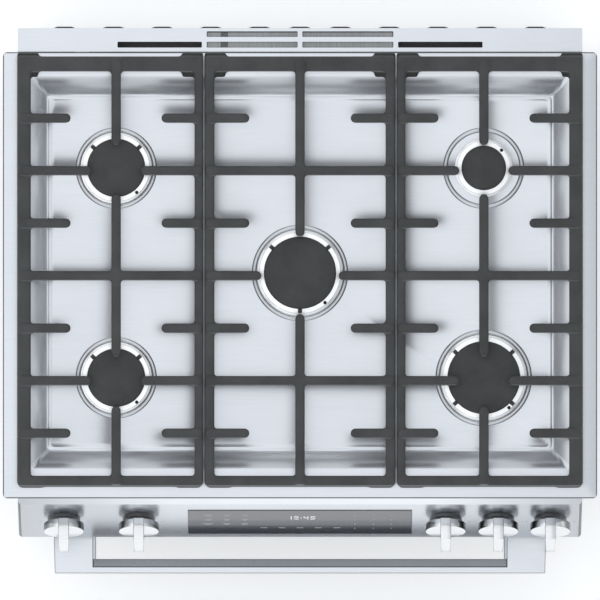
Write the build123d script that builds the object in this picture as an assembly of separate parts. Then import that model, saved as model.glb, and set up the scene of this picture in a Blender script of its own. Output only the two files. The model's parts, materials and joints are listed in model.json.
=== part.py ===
from build123d import *
import math
import os

# Freestanding gas range, 30-inch class, with an overlapping five-burner cooktop.
# Millimetres. Front is -Y, right is +X, up is +Z; the origin is on the floor under the middle.

# ---------------------------------------------------------------- driving dimensions
DEPTH = 736.0                  # handle front to the rearmost spacer tab
FRONT_Y = -DEPTH / 2
BACK_Y = DEPTH / 2
TOP_HALF = 400.0               # half width of the cooktop over its lips
BODY_HALF = 380.0              # half width of the body, panel and vent trim
TOP_Z = 920.0                  # top face of the cooktop lip
LIP = 6.0                      # thickness of the lip; its underside rests at counter height
GRATE_TOP_Z = 945.0
SHEET = 1.5                    # body sheet metal
PLATE = 2.0                    # heavier pressed sheet

COOKTOP_FRONT_Y = -267.2
COOKTOP_BACK_Y = 333.6
TRIM_FRONT_Y = 334.2
TRIM_BACK_Y = 366.0
BODY_FRONT_Y = -262.0
REAR_PANEL_Y = 361.0
KICK_Z = 100.0
KICK_Y = -235.0

RIM_HALF = 363.0               # recessed well: rim and floor outlines
RIM_FRONT_Y = -227.4
RIM_BACK_Y = 301.5
FLOOR_HALF = 340.5
FLOOR_FRONT_Y = -202.6
FLOOR_BACK_Y = 276.0
WELL_DEPTH = 22.0
WELL_Z = TOP_Z - WELL_DEPTH

# Burners: name, centre, cap diameter
BURNERS = [
    ("left_rear", -247.5, 177.7, 78.5),
    ("left_front", -247.5, -104.7, 78.5),
    ("centre", 0.0, 36.5, 97.3),
    ("right_rear", 247.4, 177.7, 60.0),
    ("right_front", 247.4, -104.7, 98.0),
]
HEAD_Z = WELL_Z + 20.0         # flat top of a burner head, where the cap rests
CAP_THICK = 7.5

# Grates
BAR = 12.7                     # width of a bar or finger
BAR_DEPTH = 13.0
RAIL_TOP_Z = 941.5
RAIL_DEPTH = 13.5
BAR_PITCH = 70.65
BAR_Y = 32.4                   # the middle long bar
GRATE_BACK_Y = 327.5
GRATE_FRONT_Y = -249.6
OUTER_RAIL = 18.4
INNER_RAIL = 11.5
CORNER_OPENING = 33.0          # half of the gap left for a corner burner
CENTRE_OPENING = 52.0

# Sloping control panel
PANEL_TILT = 16.7
PANEL_BOTTOM_Y = -318.9
PANEL_BOTTOM_Z = 760.0
PANEL_TOP_Y = -275.3
PANEL_TOP_Z = PANEL_BOTTOM_Z + (PANEL_TOP_Y - PANEL_BOTTOM_Y) / math.tan(math.radians(PANEL_TILT))
KNOB_X = [-318.5, -217.4, 196.5, 267.5, 337.7]
KNOB_UP_SLOPE = 84.0           # knob axis above the panel's lower edge, along the face
KNOB_GAP = 7.0                 # panel face to the back of the knob's disc
KNOB_DISC = 54.0
KNOB_DISC_THICK = 11.0
GRIP_WIDTH = 14.3
GRIP_LENGTH = 60.0
GRIP_HEIGHT = 19.7
PLUG_RADIUS = 6.0
STEM_RADIUS = 4.0
RUNNING = 0.05                 # radial running clearance of pins and stems
DISPLAY_WIDTH = 302.0
DISPLAY_LOW = 17.5             # display glass along the slope, from the lower edge
DISPLAY_HIGH = 125.5

# Oven cavity, door and drawer
CAVITY_HALF = 305.0
CAVITY_FRONT_Y = -236.0
CAVITY_BACK_Y = 230.0
CAVITY_FLOOR_Z = 300.0
CAVITY_TOP_Z = 735.0
MOUTH_LOW_Z = 330.0
LAGGING = 28.0
DOOR_HALF = 378.0
DOOR_LOW_Z = 265.0
DOOR_TOP_Z = 752.0
DOOR_FRONT_Y = -314.0
DOOR_SEAM_Y = -282.0           # where the outer skin meets the inner liner
DOOR_BACK_Y = -264.0
WINDOW_HALF = 240.0
WINDOW_LOW_Z = 400.0
WINDOW_HIGH_Z = 620.0
HINGE_X = 342.0
HINGE_Y = -286.0
HINGE_Z = 295.0
PIN_RADIUS = 4.0
DRAWER_LOW_Z = 105.0
DRAWER_TOP_Z = 250.0
DRAWER_HALF = 330.0
HANDLE_Z = 715.0
DRAWER_HANDLE_Z = 190.0
HANDLE_HALF = 333.0
BRACKET = 53.0
HANDLE_HEIGHT = 26.0
GRIP_BACK_Y = -348.7


# ---------------------------------------------------------------- helpers
def block(x0, x1, y0, y1, z0, z1):
    """A box given by its lowest and highest corners."""
    box = Box(x1 - x0, y1 - y0, z1 - z0)
    return Pos((x0 + x1) / 2, (y0 + y1) / 2, (z0 + z1) / 2) * box


def upright(x, y, z0, z1, radius):
    """A vertical cylinder."""
    return Pos(x, y, (z0 + z1) / 2) * Cylinder(radius, z1 - z0)


def rod_x(x0, x1, y, z, radius):
    """A cylinder lying along X."""
    return Pos((x0 + x1) / 2, y, z) * Rot(0, 90, 0) * Cylinder(radius, x1 - x0)


def rod_y(x, y0, y1, z, radius):
    """A cylinder lying along Y."""
    return Pos(x, (y0 + y1) / 2, z) * Rot(90, 0, 0) * Cylinder(radius, y1 - y0)


def side_profile(points, x0, x1):
    """A (Y, Z) outline extruded along X."""
    face = Plane.YZ * make_face(Polyline(*points, close=True))
    return Pos(x0, 0, 0) * extrude(face, x1 - x0)


def save(name, *solids):
    """Write one sub-part; several separate solids are kept as a group."""
    shape = solids[0] if len(solids) == 1 else Compound(children=list(solids))
    export_step(shape, f"parts/{name}.step")


# The panel's own frame: origin on the middle of its lower edge, X along the panel,
# Y up the slope and Z straight out of the face.
TILT = math.radians(PANEL_TILT)
PANEL = Plane(
    origin=(0, PANEL_BOTTOM_Y, PANEL_BOTTOM_Z),
    x_dir=(1, 0, 0),
    z_dir=(0, -math.cos(TILT), math.sin(TILT)),
)


def on_panel(x, out, shape):
    """Place a shape built on local Z on a knob's axis, a distance out of the face."""
    return PANEL * Pos(x, KNOB_UP_SLOPE, out) * shape


def panel_disc(x, out0, out1, radius):
    """A disc on a knob's axis between two distances from the face."""
    return on_panel(x, (out0 + out1) / 2, Cylinder(radius, out1 - out0))


# ---------------------------------------------------------------- body shell
BASE_Z = 35.0
LEG_X = 345.0
LEG_Y = [-205.0, 325.0]
SHELF_Z = 326.0                # foot of the face frame, above the swinging door's lower edge
STEP_Y = -241.0                # face frame set back below the shelf


def base_frame():
    """Pressed base pan, open underneath; its front wall is the recessed kick plate."""
    back = REAR_PANEL_Y
    pan = block(-DOOR_HALF, DOOR_HALF, KICK_Y, back, BASE_Z, KICK_Z)
    hollow = block(
        -DOOR_HALF + PLATE, DOOR_HALF - PLATE, KICK_Y + PLATE, back - PLATE, BASE_Z - 1, KICK_Z - PLATE
    )
    return pan - hollow


def levelling_leg(x, y):
    """Threaded leg with a hexagonal foot that bears on the floor."""
    foot = Pos(x, y, 0) * extrude(RegularPolygon(19, 6), 9)
    thread = upright(x, y, 9, KICK_Z - PLATE, 5)
    lock_nut = Pos(x, y, KICK_Z - PLATE - 7) * extrude(RegularPolygon(9, 6), 7)
    return foot + thread + lock_nut


def side_panel(side):
    """Flat side sheet with the notch of the recessed kick."""
    inner = side * DOOR_HALF
    outer = side * BODY_HALF
    low_x, high_x = min(inner, outer), max(inner, outer)
    sheet = block(low_x, high_x, BODY_FRONT_Y, REAR_PANEL_Y + SHEET, BASE_Z, TOP_Z - LIP)
    notch = block(low_x - 1, high_x + 1, BODY_FRONT_Y - 1, KICK_Y, BASE_Z - 1, KICK_Z)
    return sheet - notch


SERVICE_X = 300.0              # centres of the gas and power openings in the rear panel
SERVICE_Z = 165.0
SHELF_TOP_Z = 884.0            # folded ledge of the rear panel under the outer vent slots


def rear_panel():
    """Back sheet with access openings for the gas inlet and the power entry."""
    sheet = block(-DOOR_HALF, DOOR_HALF, REAR_PANEL_Y, REAR_PANEL_Y + SHEET, BASE_Z, 905)
    for x in (-SERVICE_X, SERVICE_X):
        sheet -= block(x - 50, x + 50, REAR_PANEL_Y - 1, REAR_PANEL_Y + 3, SERVICE_Z - 45, SERVICE_Z + 45)
    for side in (-1, 1):
        ends = sorted((side * 127, side * DOOR_HALF))
        sheet += block(*ends, 336, REAR_PANEL_Y, SHELF_TOP_Z - SHEET, SHELF_TOP_Z)
    return sheet


def rear_screws():
    """Pan-head screws down both edges of the rear panel."""
    heads = []
    head_y = REAR_PANEL_Y + SHEET
    for x in (-365, 0, 365):
        for z in range(70, 860, 130):
            heads.append(rod_y(x, head_y, head_y + 2, z, 4.5))
    return heads


def front_frame():
    """Folded face frame round the oven mouth, stepped back below it for the door's heel."""
    half = DOOR_HALF
    face = block(-half, half, BODY_FRONT_Y, BODY_FRONT_Y + PLATE, SHELF_Z, 756)
    mouth = block(
        -CAVITY_HALF, CAVITY_HALF, BODY_FRONT_Y - 1, CAVITY_FRONT_Y + 1, MOUTH_LOW_Z, CAVITY_TOP_Z
    )
    jamb = block(
        -CAVITY_HALF - PLATE, CAVITY_HALF + PLATE, BODY_FRONT_Y, CAVITY_FRONT_Y,
        MOUTH_LOW_Z - PLATE, CAVITY_TOP_Z + PLATE,
    )
    shelf = block(-half, half, BODY_FRONT_Y, STEP_Y + PLATE, SHELF_Z, SHELF_Z + PLATE)
    crown = block(-half, half, BODY_FRONT_Y, STEP_Y + PLATE, 753, 756)
    apron = block(-half, half, STEP_Y, STEP_Y + PLATE, DRAWER_TOP_Z + 3, SHELF_Z + PLATE)
    frame = face + jamb + shelf + crown + apron
    for side in (-1, 1):
        edge = side * (half - PLATE / 2)
        frame += block(edge - PLATE / 2, edge + PLATE / 2, BODY_FRONT_Y, STEP_Y, SHELF_Z, 756)
    return frame - mouth


def trim_slot(x0, x1, y0, y1):
    """One rounded vent slot through the trim's top."""
    cutter = Box(x1 - x0, y1 - y0, 12)
    cutter = fillet(cutter.edges().filter_by(Axis.Z), 1.4)
    return Pos((x0 + x1) / 2, (y0 + y1) / 2, TOP_Z - 3) * cutter


def rear_vent_trim():
    """Cover strip behind the cooktop, with two short and two staggered rows of vent slots."""
    top_z = TOP_Z - 2
    top = block(-BODY_HALF, BODY_HALF, TRIM_FRONT_Y, TRIM_BACK_Y, top_z - PLATE, top_z)
    flange = block(-BODY_HALF, BODY_HALF, TRIM_BACK_Y - PLATE, TRIM_BACK_Y, 870, top_z)
    trim = top + flange
    for side in (-1, 1):
        middle = sorted((side * 3.1, side * 125.6))
        outer = sorted((side * 132.1, side * 245.7))
        trim -= trim_slot(*middle, 354.0, 361.7)
        trim -= trim_slot(*middle, 339.7, 347.6)
        trim -= trim_slot(*outer, 339.7, 347.6)
    return trim


def spacer_tabs():
    """Rubber bumpers clipped to the trim's back edge, which set the range off the wall."""
    tabs = []
    depth = BACK_Y - TRIM_BACK_Y
    for x in (-317, -251, -185.6, -120, -54.6, 0, 54.6, 120, 185.6, 251, 317):
        outline = Polyline(
            (x - 15, TRIM_BACK_Y), (x - 9.5, TRIM_BACK_Y + depth),
            (x + 9.5, TRIM_BACK_Y + depth), (x + 15, TRIM_BACK_Y), close=True,
        )
        tabs.append(Pos(0, 0, 896) * extrude(make_face(outline), 21))
    return tabs


# ---------------------------------------------------------------- oven
FAN_Z = 520.0
DIFFUSER_Z = 908.0             # plate under the vent slots that spreads the flue gas
SHAFT_RADIUS = 4.0
BAFFLE_Y = 192.0
RACK_LEVELS = [400.0, 460.0, 520.0, 580.0, 640.0]
WIRE = 3.0
LADDER_X = 294.0
RACK_X = 292.0


def oven_liner():
    """Enamelled oven cavity: a five-sided box with a flue exit and a hole for the fan shaft."""
    shell = block(
        -CAVITY_HALF - PLATE, CAVITY_HALF + PLATE, CAVITY_FRONT_Y, CAVITY_BACK_Y + PLATE,
        CAVITY_FLOOR_Z - PLATE, CAVITY_TOP_Z + PLATE,
    )
    inside = block(
        -CAVITY_HALF, CAVITY_HALF, CAVITY_FRONT_Y - 1, CAVITY_BACK_Y, CAVITY_FLOOR_Z, CAVITY_TOP_Z
    )
    flue_exit = block(-60, 60, 205, 225, CAVITY_TOP_Z - 1, CAVITY_TOP_Z + PLATE + 1)
    shaft_hole = rod_y(0, CAVITY_BACK_Y - 1, CAVITY_BACK_Y + PLATE + 1, FAN_Z, 12)
    return shell - inside - flue_exit - shaft_hole


def oven_insulation():
    """Glass-fibre jacket round the cavity."""
    side = CAVITY_HALF + PLATE
    back = CAVITY_BACK_Y + PLATE
    low = CAVITY_FLOOR_Z - PLATE
    top = CAVITY_TOP_Z + PLATE
    jacket = block(
        -side - LAGGING, side + LAGGING, CAVITY_FRONT_Y + 2, back + LAGGING, low - LAGGING, top + LAGGING
    )
    jacket -= block(-side, side, CAVITY_FRONT_Y - 1, back, low, top)
    jacket -= rod_y(0, back - 1, back + LAGGING + 1, FAN_Z, 42)
    jacket -= block(-65, 65, 198, back + LAGGING + 1, top - 1, top + LAGGING + 1)
    return jacket


def rack_ladder(side):
    """Wire ladder on a side wall that carries the racks."""
    ladder = None
    for y in (-190, 0, 150):
        upright_wire = upright(side * 299.5, y, 372, 668, WIRE)
        for z in (380, 660):
            clip = sorted((side * 299, side * CAVITY_HALF))
            upright_wire += block(*clip, y - 6, y + 6, z - 6, z + 6)
        ladder = upright_wire if ladder is None else ladder + upright_wire
    for z in RACK_LEVELS:
        ladder += rod_y(side * LADDER_X, -215, 180, z, WIRE)
    return ladder


def oven_rack(level):
    """Wire rack: a bright frame with cross wires and a raised back stop."""
    z = level + 2 * WIRE + 0.3
    front, back = -222, 170
    rack = rod_x(-RACK_X, RACK_X, front, z, WIRE) + rod_x(-RACK_X, RACK_X, back, z, WIRE)
    rack += rod_x(-RACK_X, RACK_X, 0, z, WIRE)
    for side in (-1, 1):
        rack += rod_y(side * RACK_X, front, back, z, WIRE)
        for y in (front, back):
            rack += Pos(side * RACK_X, y, z) * Sphere(WIRE)
    wires = 15
    for i in range(wires):
        x = RACK_X * (2 * (i + 1) / (wires + 1) - 1)
        rack += rod_y(x, front, back, z + 4, 2)
    stop_z = z + 22
    rack += rod_x(-RACK_X + 20, RACK_X - 20, back, stop_z, WIRE)
    for x in (-RACK_X + 20, 0, RACK_X - 20):
        rack += upright(x, back, z, stop_z, WIRE)
    return rack


def oven_burners():
    """Bake burner under the cavity floor and broil burner under its ceiling."""
    bake_z = CAVITY_FLOOR_Z + 13
    bake = rod_x(-100, 100, -170, bake_z, 9)
    for x in (-91, 91):
        bake += rod_y(x, -170, 185, bake_z, 9)
        for y in (-120, 150):
            bake += block(x - 5, x + 5, y - 8, y + 8, CAVITY_FLOOR_Z, bake_z)
    broil_z = CAVITY_TOP_Z - 24
    broil = rod_y(0, -150, 175, broil_z, 9)
    broil += block(-110, 110, -140, 150, broil_z - 2, broil_z + 2)
    for y in (-100, 120):
        broil += block(-6, 6, y - 8, y + 8, broil_z, CAVITY_TOP_Z)
    return bake, broil


def oven_floor_panel():
    """Lift-out floor over the bake burner, slotted along both sides."""
    panel = block(-300, 300, -233, 188, MOUTH_LOW_Z - 2.5, MOUTH_LOW_Z - 0.5)
    for side in (-1, 1):
        for y in range(-180, 160, 60):
            panel -= block(side * 270 - 5, side * 270 + 5, y - 20, y + 20, MOUTH_LOW_Z - 4, MOUTH_LOW_Z + 1)
        panel += block(
            side * 296 - 2, side * 296 + 2, -233, 188, CAVITY_FLOOR_Z, MOUTH_LOW_Z - 2.5
        )
    return panel


def fan_baffle():
    """Cover over the convection fan, with a round inlet grille and side outlets."""
    front = BAFFLE_Y
    cover = block(-130, 130, front, CAVITY_BACK_Y, FAN_Z - 95, FAN_Z + 95)
    cover -= block(-128, 128, front + SHEET, CAVITY_BACK_Y + 1, FAN_Z - 93, FAN_Z + 93)
    for i in range(-4, 5):
        half = math.sqrt(52 ** 2 - (i * 11) ** 2)
        cover -= block(i * 11 - 3.5, i * 11 + 3.5, front - 1, front + SHEET + 1, FAN_Z - half, FAN_Z + half)
    for side in (-1, 1):
        for z in range(-66, 67, 33):
            cover -= block(side * 129 - 4, side * 129 + 4, 202, 222, FAN_Z + z - 12, FAN_Z + z + 12)
    return cover


def convection_fan():
    """Bladed wheel on its own shaft."""
    wheel = rod_y(0, 218, 220, FAN_Z, 68) + rod_y(0, 203, 220, FAN_Z, 13)
    wheel += rod_y(0, 205, 258, FAN_Z, SHAFT_RADIUS)
    for i in range(12):
        blade = Pos(0, 211, FAN_Z) * Rot(0, i * 30, 0) * Pos(52, 0, 0) * Rot(0, 25, 0) * Box(30, 16, 1.6)
        wheel += blade
    return wheel


def fan_motor():
    """Shaded-pole motor on the back of the cavity, bored for the fan shaft."""
    back = CAVITY_BACK_Y + PLATE
    motor = rod_y(0, back, back + 6, FAN_Z, 38) + rod_y(0, back, 285, FAN_Z, 30)
    return motor - rod_y(0, back - 1, 260, FAN_Z, SHAFT_RADIUS + RUNNING)


def flue_duct():
    """Oven flue: a leg off the cavity's ceiling and a wide riser under the vent slots."""
    low = CAVITY_TOP_Z + PLATE
    leg = block(-64, 64, 199, 314, low, low + LAGGING)
    riser = block(-125, 125, 312, 360.5, low, TOP_Z - 8)
    duct = leg + riser
    duct -= block(-62, 62, 201, 330, low + SHEET, low + LAGGING - SHEET)
    duct -= block(-123, 123, 314, 358.5, low + SHEET, TOP_Z)
    duct -= block(-60, 60, 205, 225, low - 1, low + 5)
    duct += block(-104, -98, 314, 358.5, low + LAGGING, TOP_Z - 8)
    return duct + block(-124, 124, 318, 355, DIFFUSER_Z - SHEET, DIFFUSER_Z)


# ---------------------------------------------------------------- cooktop and burners
DRIP_DEPTH = 0.6               # drip groove under each side lip, just outside the body
THROAT_RADIUS = 22.0
RING_HEIGHT = 1.6
RING_WIDTH = 5.6
IGNITER_RADIUS = 2.1
CROWN = 6.2                    # crown and skirt of a burner head, beyond its cap
SKIRT = 9.0
CAP_LUGS = {
    "left_rear": (42, 138),
    "left_front": (42, 138),
    "centre": (42, 138, 270),
    "right_rear": (),
    "right_front": (42, 138, 222, 318),
}


def ring_radius(cap):
    """Outer radius of the embossed ring round a burner, from its cap diameter."""
    return 54.8 if cap < 90 else 65.0


def igniter_place(name, x, y, cap):
    """Igniter beside the head: towards the front right, or the rear right on the small burner."""
    turn = 45 if name == "right_rear" else -50
    reach = cap / 2 + 3.8
    return x + reach * math.cos(math.radians(turn)), y + reach * math.sin(math.radians(turn))


def well(grow, drop):
    """The well's tapering volume, grown sideways and downwards by a thickness."""
    rim_y = (RIM_FRONT_Y + RIM_BACK_Y) / 2
    floor_y = (FLOOR_FRONT_Y + FLOOR_BACK_Y) / 2
    rim = Pos(0, rim_y, TOP_Z) * Rectangle(2 * (RIM_HALF + grow), RIM_BACK_Y - RIM_FRONT_Y + 2 * grow)
    floor = Pos(0, floor_y, WELL_Z - drop) * Rectangle(
        2 * (FLOOR_HALF + grow), FLOOR_BACK_Y - FLOOR_FRONT_Y + 2 * grow
    )
    return loft([rim, floor], ruled=True)


def cooktop():
    """Pressed steel top: flat overlapping lip, mitred well and an embossed ring at each burner."""
    middle_y = (COOKTOP_FRONT_Y + COOKTOP_BACK_Y) / 2
    plate = Box(2 * TOP_HALF, COOKTOP_BACK_Y - COOKTOP_FRONT_Y, LIP)
    plate = fillet(plate.edges().filter_by(Axis.Z), 6)
    top = Pos(0, middle_y, TOP_Z - LIP / 2) * plate
    top += well(PLATE, PLATE)
    top -= well(0, 0)
    for side in (-1, 1):
        drip = sorted((side * (BODY_HALF + 0.4), side * (BODY_HALF + 1.4)))
        under = TOP_Z - LIP
        top -= block(*drip, COOKTOP_FRONT_Y - 1, COOKTOP_BACK_Y + 1, under - 1, under + DRIP_DEPTH)
    for name, x, y, cap in BURNERS:
        outer = ring_radius(cap)
        ring = upright(x, y, WELL_Z - 0.5, WELL_Z + RING_HEIGHT, outer)
        ring -= upright(x, y, WELL_Z - 1, WELL_Z + RING_HEIGHT + 1, outer - RING_WIDTH)
        top += ring
        top -= upright(x, y, WELL_Z - PLATE - 1, WELL_Z + 1, THROAT_RADIUS)
        spark_x, spark_y = igniter_place(name, x, y, cap)
        top -= upright(spark_x, spark_y, WELL_Z - PLATE - 1, WELL_Z + 3, IGNITER_RADIUS + 0.4)
    return top


def burner_bowl(x, y):
    """Gas bowl under the floor with its throat and inlet arm."""
    under = WELL_Z - PLATE
    bowl = upright(x, y, under - 35, under, 30) + upright(x, y, under, WELL_Z, THROAT_RADIUS - 0.5)
    bowl += rod_y(x, y - 68, y, under - 23, 9)
    bowl -= upright(x, y, under - 28, WELL_Z + 1, THROAT_RADIUS - 4)
    return bowl


def burner_head(name, x, y, cap):
    """Cast aluminium head: a low skirt, a slotted crown and an open centre."""
    crown = cap / 2 + CROWN
    skirt = cap / 2 + SKIRT
    head = upright(x, y, WELL_Z, WELL_Z + 5, skirt) + upright(x, y, WELL_Z + 5, HEAD_Z, crown)
    head -= upright(x, y, WELL_Z - 1, HEAD_Z + 1, THROAT_RADIUS - 4)
    slots = 24
    for i in range(slots):
        head -= Pos(x, y, HEAD_Z - 5) * Rot(0, 0, i * 360 / slots) * Pos(crown, 0, 0) * Box(9, 1.8, 6)
    spark_x, spark_y = igniter_place(name, x, y, cap)
    head -= upright(spark_x, spark_y, WELL_Z - 1, HEAD_Z + 1, IGNITER_RADIUS + 0.4)
    return head


def burner_cap(name, x, y, cap):
    """Enamelled cap with a rounded edge, a locating spigot and small lugs over the crown."""
    disc = Pos(x, y, HEAD_Z + CAP_THICK / 2) * Cylinder(cap / 2, CAP_THICK)
    disc = fillet(disc.edges().sort_by(Axis.Z)[-1], 2.5)
    disc += upright(x, y, HEAD_Z - 8, HEAD_Z, THROAT_RADIUS - 4.4)
    for turn in CAP_LUGS[name]:
        lug = Box(12, 5.4, 2.5)
        disc += Pos(x, y, HEAD_Z + 1.25) * Rot(0, 0, turn) * Pos(cap / 2 - 0.5, 0, 0) * lug
    return disc


def igniter(name, x, y, cap):
    """Ceramic spark rod, standing beside the crown."""
    spark_x, spark_y = igniter_place(name, x, y, cap)
    return upright(spark_x, spark_y, WELL_Z - 30, HEAD_Z - 3, IGNITER_RADIUS)


# ---------------------------------------------------------------- grates
FOOT_WIDTH = 29.0
REAR_FOOT_Y = 300.0            # inner edge of the rear feet, seen inside the rear rail
RAIL_DRAFT = 2.2
FINGER_TIP_OUTER = 308.5
FINGER_TIP_INNER = 186.5
CENTRE_TIP = 68.0
SIDE_INNER_X = 130.4
CENTRE_RAIL_X = 128.4


def slot_x(x0, x1, y):
    """A bar along X with rounded ends."""
    bar = extrude(SlotOverall(x1 - x0, BAR), BAR_DEPTH)
    return Pos((x0 + x1) / 2, y, GRATE_TOP_Z - BAR_DEPTH) * bar


def slot_y(x, y0, y1):
    """A bar along Y with rounded ends."""
    bar = Rot(0, 0, 90) * extrude(SlotOverall(y1 - y0, BAR), BAR_DEPTH)
    return Pos(x, (y0 + y1) / 2, GRATE_TOP_Z - BAR_DEPTH) * bar


def grate_frame(x0, x1, left_rail, right_rail):
    """Four rails and four corner feet between two sides; the front rail has a drafted face."""
    low, high = RAIL_TOP_Z - RAIL_DEPTH, RAIL_TOP_Z
    frame = block(x0, x1, GRATE_FRONT_Y, GRATE_BACK_Y, low, high)
    frame = fillet(frame.edges().filter_by(Axis.Z), 3.5)
    frame -= block(
        x0 + left_rail, x1 - right_rail, GRATE_FRONT_Y + 12.8, GRATE_BACK_Y - 20.2, low - 1, high + 1
    )
    toe = GRATE_FRONT_Y - RAIL_DRAFT
    root = GRATE_FRONT_Y + 4
    drafted = [(root, low), (toe, low), (toe, high - 5), (GRATE_FRONT_Y, high - 1), (root, high - 1)]
    frame += side_profile(drafted, x0 + 3, x1 - 3)
    for x in (x0, x1 - FOOT_WIDTH):
        rear = Polyline(
            (x, GRATE_BACK_Y + 4.5), (x + FOOT_WIDTH, GRATE_BACK_Y + 4.5), (x + FOOT_WIDTH, 307),
            (x + FOOT_WIDTH - 1.5, REAR_FOOT_Y), (x + 1.5, REAR_FOOT_Y), (x, 307), close=True,
        )
        frame += Pos(0, 0, TOP_Z) * extrude(make_face(rear), high - 5 - TOP_Z)
    for x in (x0 + 5.5, x1 - FOOT_WIDTH - 5.5):
        frame += block(x, x + FOOT_WIDTH, toe - 1.2, GRATE_FRONT_Y + 12, TOP_Z, high - 6)
    return frame


def side_grate(side):
    """Grate over two burners, with a cross at each and short fingers between."""
    x_in, x_out = SIDE_INNER_X, BODY_HALF + 0.6
    if side > 0:
        grate = grate_frame(x_in, x_out, INNER_RAIL, OUTER_RAIL)
    else:
        grate = grate_frame(-x_out, -x_in, OUTER_RAIL, INNER_RAIL)
    centre = 247.4
    y_rear, y_front = 175.0, -110.0
    gap = CORNER_OPENING

    def across(near, far, y):
        """A bar between two distances from the middle plane, on this grate's side."""
        ends = sorted((side * near, side * far))
        return slot_x(*ends, y)

    for y in (BAR_Y + 2 * BAR_PITCH, BAR_Y - 2 * BAR_PITCH):
        grate += across(x_in + 1, centre - gap, y) + across(centre + gap, x_out - 0.5, y)
    grate += across(x_in + 1, x_out - 0.5, BAR_Y)
    for step in (-3, -1, 1, 3):
        y = BAR_Y + step * BAR_PITCH
        grate += across(x_in + 1, FINGER_TIP_INNER, y) + across(FINGER_TIP_OUTER, x_out - 0.5, y)
    grate += slot_y(side * centre, GRATE_FRONT_Y + 0.5, y_front - gap)
    grate += slot_y(side * centre, y_front + gap, y_rear - gap)
    grate += slot_y(side * centre, y_rear + gap, GRATE_BACK_Y - 0.5)
    return grate


def centre_grate():
    """Grate over the middle burner, with a wider cross opening."""
    half = CENTRE_RAIL_X
    grate = grate_frame(-half, half, 13.2, 13.2)
    gap = CENTRE_OPENING
    y_burner = 33.0
    for y in (BAR_Y + 2 * BAR_PITCH, BAR_Y - 2 * BAR_PITCH):
        grate += slot_x(-half + 1, half - 1, y)
    for side in (-1, 1):
        ends = sorted((side * gap, side * (half - 1)))
        grate += slot_x(*ends, BAR_Y)
        for step in (-3, -1, 1, 3):
            ends = sorted((side * CENTRE_TIP, side * (half - 1)))
            grate += slot_x(*ends, BAR_Y + step * BAR_PITCH)
    grate += slot_y(0, GRATE_FRONT_Y + 0.5, y_burner - gap)
    grate += slot_y(0, y_burner + gap, GRATE_BACK_Y - 0.5)
    return grate


# ---------------------------------------------------------------- gas supply and controls
VALVE_WIDTH = 24.0
VALVE_NEAR = -8.0              # valve body, as distances out of the panel's face
VALVE_FAR = -44.0
PLUG_NEAR = -9.0
PLUG_FAR = -36.0
STEM_FAR = -24.0
PUSH = 3.5
MANIFOLD_Y = -250.0
MANIFOLD_Z = 827.0
MANIFOLD_RADIUS = 8.0
TUBE_RADIUS = 4.0
INLET_RADIUS = 10.65           # half of the outside diameter of a half-inch pipe thread
SUPPLY_Y = 314.0
SUPPLY_Z = 800.0

# Which burner each knob feeds, from left to right
KNOB_BURNER = ["left_front", "left_rear", "centre", "right_rear", "right_front"]


def manifold_pipe():
    """Straight pipe behind the valves."""
    return rod_x(-350, 350, MANIFOLD_Y, MANIFOLD_Z, MANIFOLD_RADIUS)


def gas_valve(x):
    """Brass valve body bored for its plug, seated on the manifold."""
    length = VALVE_NEAR - VALVE_FAR
    body = on_panel(x, (VALVE_NEAR + VALVE_FAR) / 2, Box(VALVE_WIDTH, VALVE_WIDTH, length))
    body -= panel_disc(x, PLUG_FAR - 0.2, VALVE_NEAR + 1, PLUG_RADIUS + RUNNING)
    return body - manifold_pipe()


def valve_plug(x):
    """Turning plug of a valve, bored for the stem that slides in it."""
    plug = panel_disc(x, PLUG_FAR, PLUG_NEAR, PLUG_RADIUS)
    return plug - panel_disc(x, STEM_FAR - PUSH - 1, PLUG_NEAR + 1, STEM_RADIUS + RUNNING)


def bent_tube(points, radius, bend):
    """A tube along straight runs joined by arcs."""
    path = FilletPolyline(*points, radius=bend)
    start = Plane(origin=path @ 0, z_dir=path % 0)
    return sweep(start * Circle(radius), path=path)


def burner_tube(x, burner):
    """Aluminium tube from a valve to its burner's inlet arm."""
    burner_x, burner_y = burner[1:3]
    arm_z = WELL_Z - PLATE - 23
    run_z = 842
    route = [
        (x, -262, run_z),
        (x, burner_y - 115, run_z),
        (burner_x, burner_y - 90, arm_z),
        (burner_x, burner_y - 68, arm_z),
    ]
    return bent_tube(route, TUBE_RADIUS, 8) - gas_valve_block(x)


def gas_valve_block(x):
    """Solid envelope of a valve body, which its tube butts against."""
    length = VALVE_NEAR - VALVE_FAR
    return on_panel(x, (VALVE_NEAR + VALVE_FAR) / 2, Box(VALVE_WIDTH, VALVE_WIDTH, length))


def gas_supply():
    """Riser from the regulator up the back and forward over the oven to the manifold."""
    route = [
        (-SERVICE_X, SUPPLY_Y, SERVICE_Z + 30),
        (-SERVICE_X, SUPPLY_Y, SUPPLY_Z),
        (-SERVICE_X, MANIFOLD_Y, SUPPLY_Z),
        (-SERVICE_X, MANIFOLD_Y, MANIFOLD_Z),
    ]
    return manifold_pipe() + bent_tube(route, MANIFOLD_RADIUS - 1, 12)


def gas_regulator():
    """Regulator with its threaded inlet nipple, reached through the rear panel."""
    x, y, z = -SERVICE_X, SUPPLY_Y, SERVICE_Z
    regulator = block(x - 22, x + 22, y - 22, y + 20, z - 30, z + 30)
    regulator += rod_y(x, y - 34, y - 22, z, 18)
    return regulator + rod_y(x, y + 20, y + 44, z, INLET_RADIUS)


def terminal_block():
    """Power entry box with a cable hole in its back wall."""
    x, z = SERVICE_X, SERVICE_Z
    box = block(x - 40, x + 40, 300, 356, z - 32, z + 32)
    box -= block(x - 37, x + 37, 303, 353, z - 29, z + 29)
    box += block(x - 25, x + 25, 303, 318, z - 12, z + 12)
    return box - rod_y(x, 352, 357, z - 10, 11)


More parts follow.
